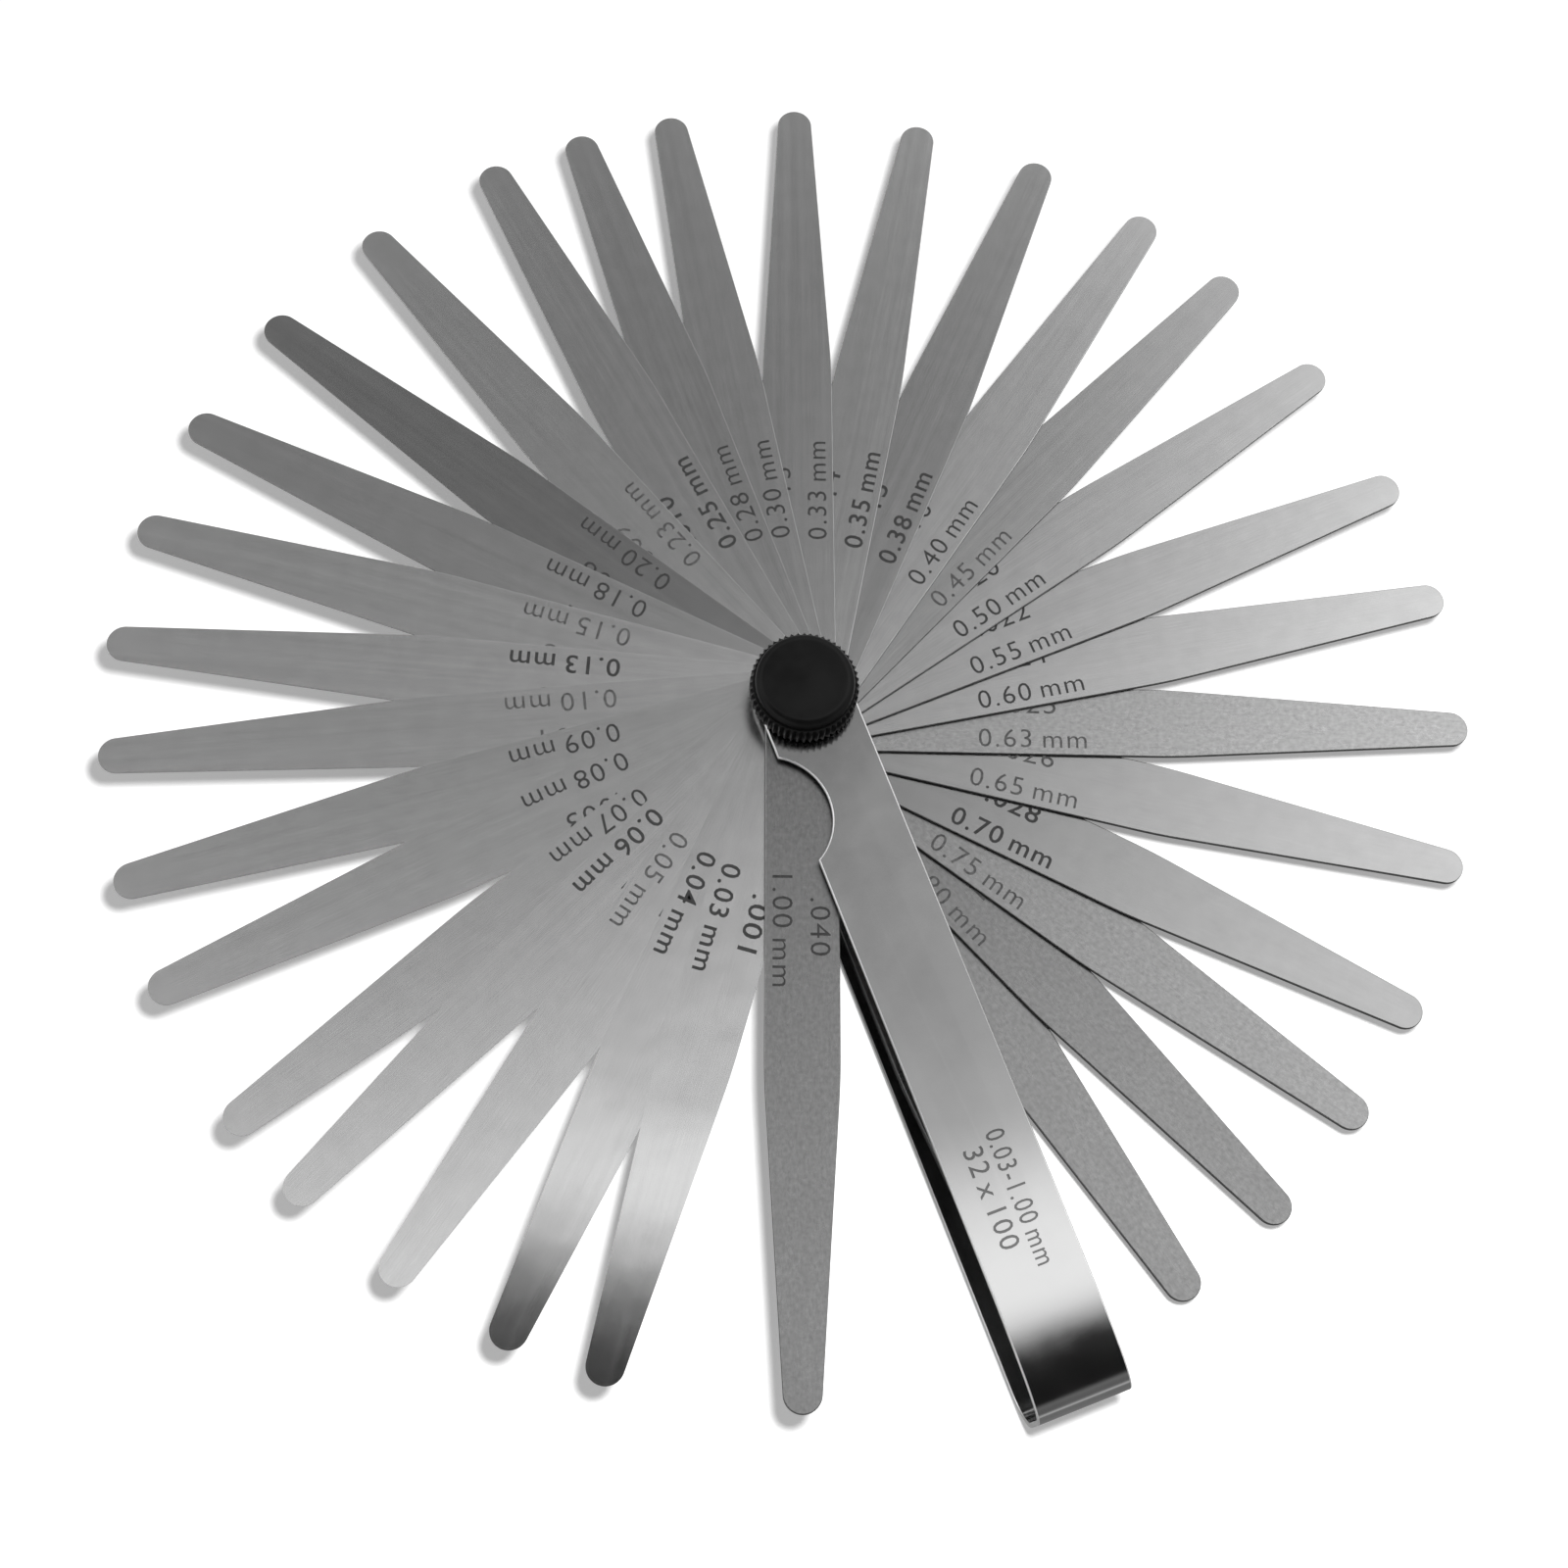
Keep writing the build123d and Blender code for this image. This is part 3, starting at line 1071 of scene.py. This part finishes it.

# %% [markdown]
# ## The knob
# The knob is moulded in black plastic: a drum with a smooth crown, and a grip of straight
# ridges round it. One ridge is drawn with a few faces, and a Geometry Nodes tree sets
# it round the axis as often as its Count input says.

# %% A tree that repeats a piece round the axis
def make_repeat_tree():
    """Takes a mesh and sets Count copies of it round Z."""
    tree = bpy.data.node_groups.new("Repeat round the axis", "GeometryNodeTree")
    tree.interface.new_socket("Geometry", in_out="INPUT", socket_type="NodeSocketGeometry")
    tree.interface.new_socket("Count", in_out="INPUT", socket_type="NodeSocketInt")
    tree.interface.new_socket("Material", in_out="INPUT", socket_type="NodeSocketMaterial")
    tree.interface.new_socket("Geometry", in_out="OUTPUT", socket_type="NodeSocketGeometry")
    into = tree.nodes.new("NodeGroupInput")
    out = tree.nodes.new("NodeGroupOutput")
    points = tree.nodes.new("GeometryNodePoints")
    tree.links.new(into.outputs["Count"], points.inputs["Count"])
    number = tree.nodes.new("GeometryNodeInputIndex")
    turn = add_math(tree, "MULTIPLY", number.outputs[0], 2 * math.pi)
    share = add_math(tree, "DIVIDE", turn, into.outputs["Count"])
    angles = tree.nodes.new("ShaderNodeCombineXYZ")
    tree.links.new(share, angles.inputs["Z"])
    copies = tree.nodes.new("GeometryNodeInstanceOnPoints")
    tree.links.new(points.outputs[0], copies.inputs["Points"])
    tree.links.new(into.outputs["Geometry"], copies.inputs["Instance"])
    tree.links.new(angles.outputs[0], copies.inputs["Rotation"])
    real = tree.nodes.new("GeometryNodeRealizeInstances")
    tree.links.new(copies.outputs[0], real.inputs[0])
    paint = tree.nodes.new("GeometryNodeSetMaterial")
    tree.links.new(real.outputs[0], paint.inputs["Geometry"])
    tree.links.new(into.outputs["Material"], paint.inputs["Material"])
    tree.links.new(paint.outputs[0], out.inputs["Geometry"])
    return tree


def repeated(mesh, **values):
    """The mesh that the tree makes of a mesh, with nothing left in the scene."""
    maker = bpy.data.objects.new("maker", mesh)
    scene.collection.objects.link(maker)
    modifier = maker.modifiers.new("repeat", "NODES")
    modifier.node_group = REPEAT_TREE
    for item in REPEAT_TREE.interface.items_tree:
        if item.in_out == "INPUT" and item.name in values:
            modifier[item.identifier] = values[item.name]
    graph = bpy.context.evaluated_depsgraph_get()
    result = bpy.data.meshes.new_from_object(maker.evaluated_get(graph))
    bpy.data.objects.remove(maker)
    return result


REPEAT_TREE = make_repeat_tree()
print("tree nodes:", len(REPEAT_TREE.nodes))

# %% Black plastic
def make_black_plastic():
    """Moulded plastic: nearly black, with a soft sheen and a trace of orange peel."""
    colours = (grey(0.0015), grey(0.004))
    finish = mottled_material("black_plastic", 420.0, 1.6, colours, (0.3, 0.4), 0.0)
    material, tree, shader, patches = finish
    shader.inputs["Specular IOR Level"].default_value = 0.13
    add_bump(tree, shader, patches, 0.12, 0.00002)
    return material


BLACK_PLASTIC = make_black_plastic()
print("finish:", BLACK_PLASTIC.name)

# %% Drum and crown
RIDGE_DEPTH = 0.45
RIDGE_TOP = 3.4
CROWN_RADIUS = 6.75
SHOULDER_RADIUS = 1.2
POCKET_RADIUS = 3.81
POCKET_DEPTH = 3.6
DOME = 0.3
DOME_STEPS = 12
DRUM_SEGMENTS = 156
knob_low, knob_high = box_mm("knob")
KNOB_RADIUS = knob_high.x


def make_drum():
    """Pocket, drum and domed crown, as one closed section."""
    base = knob_low.z
    valley = KNOB_RADIUS - RIDGE_DEPTH
    shoulder = knob_high.z - DOME - SHOULDER_RADIUS
    flat_start = CROWN_RADIUS - SHOULDER_RADIUS
    section = [(0, base + POCKET_DEPTH), (POCKET_RADIUS, base + POCKET_DEPTH)]
    section += [(POCKET_RADIUS, base), (valley - EASE, base), (valley, base + EASE)]
    section += [(valley, base + RIDGE_TOP - EASE), (valley - EASE, base + RIDGE_TOP)]
    section += [(CROWN_RADIUS, base + RIDGE_TOP)]
    section += arc_points((flat_start, shoulder), SHOULDER_RADIUS, 0, 90, 12)
    for step in range(1, DOME_STEPS):
        share = step / DOME_STEPS
        rise = DOME * math.sin(share * math.pi / 2) ** 2
        section.append((flat_start * (1 - share), knob_high.z - DOME + rise))
    section.append((0, knob_high.z))
    return turned_mesh(section, DRUM_SEGMENTS)


drum = make_drum()
print("drum faces:", len(drum.polygons))

# %% [markdown]
# ## The grip
# The ridges of the grip all have the same section: steep flanks, a narrow crest and a small
# chamfer at each end, where the mould opens. One ridge is built as a short prism whose foot is
# sunk in the drum, and the tree above sets fifty-two of them side by side.

# %% Ridges
RIDGE_COUNT = 52
RIDGE_CHAMFER = 0.3
RIDGE_FOOT = 0.15
CREST_FALL = 0.05
CREST_SHARE = 0.14
FOOT_SHARE = 0.98


def ridge_section():
    """Half a ridge is (radius, angle) points from the drum to the crest, then mirrored."""
    half_pitch = math.pi / RIDGE_COUNT
    valley = KNOB_RADIUS - RIDGE_DEPTH
    flank = [(valley - RIDGE_FOOT, -half_pitch), (valley, -half_pitch * FOOT_SHARE)]
    flank.append((KNOB_RADIUS - CREST_FALL, -half_pitch * CREST_SHARE))
    other_flank = [(radius, -angle) for radius, angle in reversed(flank)]
    return flank + [(KNOB_RADIUS, 0)] + other_flank


def make_ridge():
    """One straight ridge with a narrow crest, its ends chamfered, sunk a little in the drum."""
    sides = ridge_section()
    work = bmesh.new()
    rings = []
    for height in (0, RIDGE_CHAMFER, RIDGE_TOP - RIDGE_CHAMFER, RIDGE_TOP):
        limit = KNOB_RADIUS if 0 < height < RIDGE_TOP else KNOB_RADIUS - RIDGE_CHAMFER
        ring = []
        for radius, angle in sides:
            reach = min(radius, limit)
            x, y = reach * math.cos(angle), reach * math.sin(angle)
            ring.append(work.verts.new((x, y, knob_low.z + height)))
        rings.append(ring)
    for lower, upper in zip(rings, rings[1:]):
        for step in range(len(sides)):
            after = (step + 1) % len(sides)
            work.faces.new((lower[step], lower[after], upper[after], upper[step]))
    work.faces.new(rings[0])
    work.faces.new(rings[-1])
    bmesh.ops.remove_doubles(work, verts=work.verts, dist=WELD)
    bmesh.ops.recalc_face_normals(work, faces=work.faces)
    mesh = bpy.data.meshes.new("ridge")
    work.to_mesh(mesh)
    work.free()
    soften(mesh)
    return mesh


ridges = repeated(make_ridge(), Count=RIDGE_COUNT, Material=BLACK_PLASTIC)
print("ridge faces:", len(ridges.polygons))

# %% The finished knob
knob_mesh = joined([drum, ridges])
add_piece("knob_moulding", knob_mesh, [BLACK_PLASTIC], "knob_body", "knob_plastic", "knob")
print("knob faces:", len(knob_mesh.polygons))

# %% [markdown]
# ## The insert
# A threaded brass sleeve is moulded into the knob and takes the bolt. It is hidden unless the
# gauge is taken apart, so it keeps its engineering shape and only gets a finish.

# %% Brass
DULL_BRASS = (0.55, 0.37, 0.13, 1.0)
BRIGHT_BRASS = (0.72, 0.5, 0.2, 1.0)
BRASSES = (DULL_BRASS, BRIGHT_BRASS)
BRASS = mottled_material("turned_brass", 500.0, 2.0, BRASSES, (0.25, 0.4), 1.0)[0]
insert = frame["nodes"]["knob_insert"]
for slot in insert.material_slots:
    slot.material = BRASS
print("insert slots:", len(insert.material_slots))

# %% [markdown]
# ## The table
# The gauge lies on a pale table that is nearly as bright as the light allows, with soft shadows.
# The plate glows a little, so that the shadows don't get heavy, and more so far away, where the
# lamp no longer reaches. From below it is clear, so that the underside of the gauge can be seen.

# %% Floor
FLOOR_SIZE = 3.0
FLOOR_DROP = 0.0001
FLOOR_GLOW = 0.25
FAR_GLOW = 0.7
GLOW_REACH = (0.1, 0.4)


def make_floor_material():
    """Pale and dull; it glows more away from the middle and is clear from below."""
    material, tree, shader = new_material("pale_table")
    place = tree.nodes.new("ShaderNodeTexCoord").outputs["Object"]
    patches = use_group(tree, CLOUDING, Vector=place, Scale=4.0, Contrast=0.6)["Patches"]
    plug(tree, blend_colour(tree, patches, grey(0.8), grey(0.83)), shader.inputs["Base Color"])
    shader.inputs["Roughness"].default_value = 0.9
    shader.inputs["Specular IOR Level"].default_value = 0.1
    away = tree.nodes.new("ShaderNodeVectorMath")
    away.operation = "LENGTH"
    plug(tree, place, away.inputs[0])
    glow = ramp(tree, away.outputs["Value"], GLOW_REACH, FLOOR_GLOW, FAR_GLOW)
    plug(tree, glow, shader.inputs["Emission Color"])
    shader.inputs["Emission Strength"].default_value = 1.0
    side = tree.nodes.new("ShaderNodeNewGeometry")
    clear = tree.nodes.new("ShaderNodeBsdfTransparent")
    mix = tree.nodes.new("ShaderNodeMixShader")
    plug(tree, side.outputs["Backfacing"], mix.inputs["Fac"])
    tree.links.new(shader.outputs["BSDF"], mix.inputs[1])
    tree.links.new(clear.outputs["BSDF"], mix.inputs[2])
    output = tree.nodes["Material Output"]
    tree.links.new(mix.outputs["Shader"], output.inputs["Surface"])
    return material


def make_floor():
    """A flat square just under the bolt's head, which the metal doesn't mirror."""
    work = bmesh.new()
    place = Matrix.Translation((0, 0, -FLOOR_DROP))
    bmesh.ops.create_grid(work, x_segments=8, y_segments=8, size=FLOOR_SIZE / 2, matrix=place)
    mesh = bpy.data.meshes.new("floor")
    work.to_mesh(mesh)
    work.free()
    mesh.materials.append(make_floor_material())
    floor = bpy.data.objects.new("floor", mesh)
    scene.collection.objects.link(floor)
    floor.visible_glossy = False
    return floor


floor = make_floor()
print("floor:", FLOOR_SIZE, "m")

# %% [markdown]
# ## The camera
# It looks down steeply from the left of the holder, about a third of a metre above the table.
# Its turn is built from three directions: back, right and up.

# %% Camera
CAMERA_PLACE = Vector((-59.23, -98.29, 324.03)) * MM
CAMERA_AIM = Vector((-5.64, -8.84, 8.0)) * MM
CAMERA_UP = Vector((0.3233, 0.8947, 0.3081))
LENS = 55.38


def make_camera():
    """The scene's camera at its place, aimed at the middle of the fan."""
    data = bpy.data.cameras.new("camera")
    data.lens = LENS
    data.sensor_width = 36.0
    data.clip_start = 0.01
    camera = bpy.data.objects.new("camera", data)
    scene.collection.objects.link(camera)
    back = (CAMERA_PLACE - CAMERA_AIM).normalized()
    right = CAMERA_UP.cross(back).normalized()
    up = back.cross(right)
    turn = Matrix((right, up, back)).transposed().to_4x4()
    camera.matrix_world = Matrix.Translation(CAMERA_PLACE) @ turn
    scene.camera = camera
    return camera


camera = make_camera()
print("camera height:", round(CAMERA_PLACE.z, 3), "m")

# %% [markdown]
# ## The lamp
# One small soft lamp beside the camera makes short, soft shadows. Mirrored metal would show it
# as a white disc, so it lights the scene without appearing in reflections.

# %% Lamp
LAMP_OFFSET = Vector((0.05, 0.03, 0.0))
LAMP_SIZE = 0.04
LAMP_POWER = 1.35


def make_lamp():
    """A small soft lamp beside the camera, so shadows stay short and fall to the lower left."""
    data = bpy.data.lights.new("key", "AREA")
    data.shape = "DISK"
    data.size = LAMP_SIZE
    data.energy = LAMP_POWER
    lamp = bpy.data.objects.new("key", data)
    scene.collection.objects.link(lamp)
    place = CAMERA_PLACE + LAMP_OFFSET
    facing = (place - CAMERA_AIM).to_track_quat("Z", "Y").to_matrix().to_4x4()
    lamp.matrix_world = Matrix.Translation(place) @ facing
    lamp.visible_glossy = False
    lamp.visible_camera = False
    return lamp


lamp = make_lamp()
print("lamp:", LAMP_POWER, "W")

# %% [markdown]
# ## The studio that the metal mirrors
# Polished steel has hardly any colour of its own: it shows what stands around it. Softboxes and
# dark cloths could be built as objects, but a world that is drawn by direction does the same
# with no noise and no geometry. Straight overhead it is dim, and brighter round that. In front
# it is dark, which gives the fold its black band. Lower down stand grey walls, a bright one to
# the right and a window to the left, above a pale horizon.

# %% Overhead
DARK_SPOT = (0.06, 0.52)
SPOT_WIDTH = 1.33
SPOT_EDGES = (0.2, 0.52)
OVERHEAD = 0.28
SURROUND = 1.9
FRONT_NORMAL = (0.35, 0.94)
FRONT_EDGES = (-0.14, 0.02)
FRONT_LEVEL = 0.02
LOWEST = 0.05


def overhead_light(tree, split):
    """The light from above: X and Y are divided by Z, which flattens the sky into a ceiling."""
    height = add_math(tree, "MAXIMUM", split.outputs["Z"], LOWEST)
    across = add_math(tree, "DIVIDE", split.outputs["X"], height)
    away = add_math(tree, "DIVIDE", split.outputs["Y"], height)
    sideways = add_math(tree, "SUBTRACT", across, DARK_SPOT[0])
    aside = add_math(tree, "POWER", add_math(tree, "DIVIDE", sideways, SPOT_WIDTH), 2.0)
    beyond = add_math(tree, "POWER", add_math(tree, "SUBTRACT", away, DARK_SPOT[1]), 2.0)
    distance = add_math(tree, "SQRT", add_math(tree, "ADD", aside, beyond))
    ceiling = ramp(tree, distance, SPOT_EDGES, OVERHEAD, SURROUND)
    leaning = add_math(tree, "MULTIPLY", across, FRONT_NORMAL[0])
    towards_back = add_math(tree, "MULTIPLY_ADD", away, FRONT_NORMAL[1], leaning)
    return ramp(tree, towards_back, FRONT_EDGES, FRONT_LEVEL, ceiling)


print("overhead", OVERHEAD, " round it", SURROUND)

# %% Walls
WALL = 0.42
WALL_EDGES = (-0.2, 0.7)
BRIGHT_WALL = 0.75
WINDOW = 1.3
WINDOW_EDGES = (-0.85, -0.45)
FRONT_WALL = 0.22
FRONT_WALL_EDGES = (-0.92, -0.7)
CEILING_EDGES = (0.45, 0.65)
HORIZON = 0.8
HORIZON_EDGES = (0.05, 0.2)
BELOW = 0.3
BELOW_EDGES = (-0.08, 0.0)


def studio_light(tree, split):
    """The light from every direction: walls, ceiling, horizon and what is below."""
    x, y, z = (split.outputs[axis] for axis in "XYZ")
    walls = ramp(tree, x, WALL_EDGES, WALL, BRIGHT_WALL)
    window = ramp(tree, x, WINDOW_EDGES, WINDOW, walls)
    front = ramp(tree, y, FRONT_WALL_EDGES, FRONT_WALL, window)
    around = ramp(tree, z, CEILING_EDGES, front, overhead_light(tree, split))
    horizon = ramp(tree, z, HORIZON_EDGES, HORIZON, around)
    return ramp(tree, z, BELOW_EDGES, BELOW, horizon)


print("walls", WALL, "to", BRIGHT_WALL, " window", WINDOW)

# %% World
AMBIENT = 0.25
BACKDROP = 0.9


def make_world():
    """Mirrored rays see the studio; the floor and the camera see flat greys."""
    world = bpy.data.worlds.new("studio")
    world.use_nodes = True
    tree = world.node_tree
    tree.nodes.clear()
    place = tree.nodes.new("ShaderNodeTexCoord")
    split = tree.nodes.new("ShaderNodeSeparateXYZ")
    tree.links.new(place.outputs["Generated"], split.inputs[0])
    paths = tree.nodes.new("ShaderNodeLightPath")
    glossy = paths.outputs["Is Glossy Ray"]
    mirrored = add_math(tree, "MULTIPLY", studio_light(tree, split), glossy)
    plain = ramp(tree, paths.outputs["Is Camera Ray"], (0.0, 1.0), AMBIENT, BACKDROP)
    rest = add_math(tree, "SUBTRACT", 1.0, glossy)
    light = add_math(tree, "MULTIPLY_ADD", plain, rest, mirrored)
    background = tree.nodes.new("ShaderNodeBackground")
    plug(tree, light, background.inputs["Color"])
    output = tree.nodes.new("ShaderNodeOutputWorld")
    tree.links.new(background.outputs[0], output.inputs["Surface"])
    world.cycles.sampling_method = "NONE"
    scene.world = world
    return world


world = make_world()
scene.view_settings.view_transform = "Standard"
print("world:", world.name)
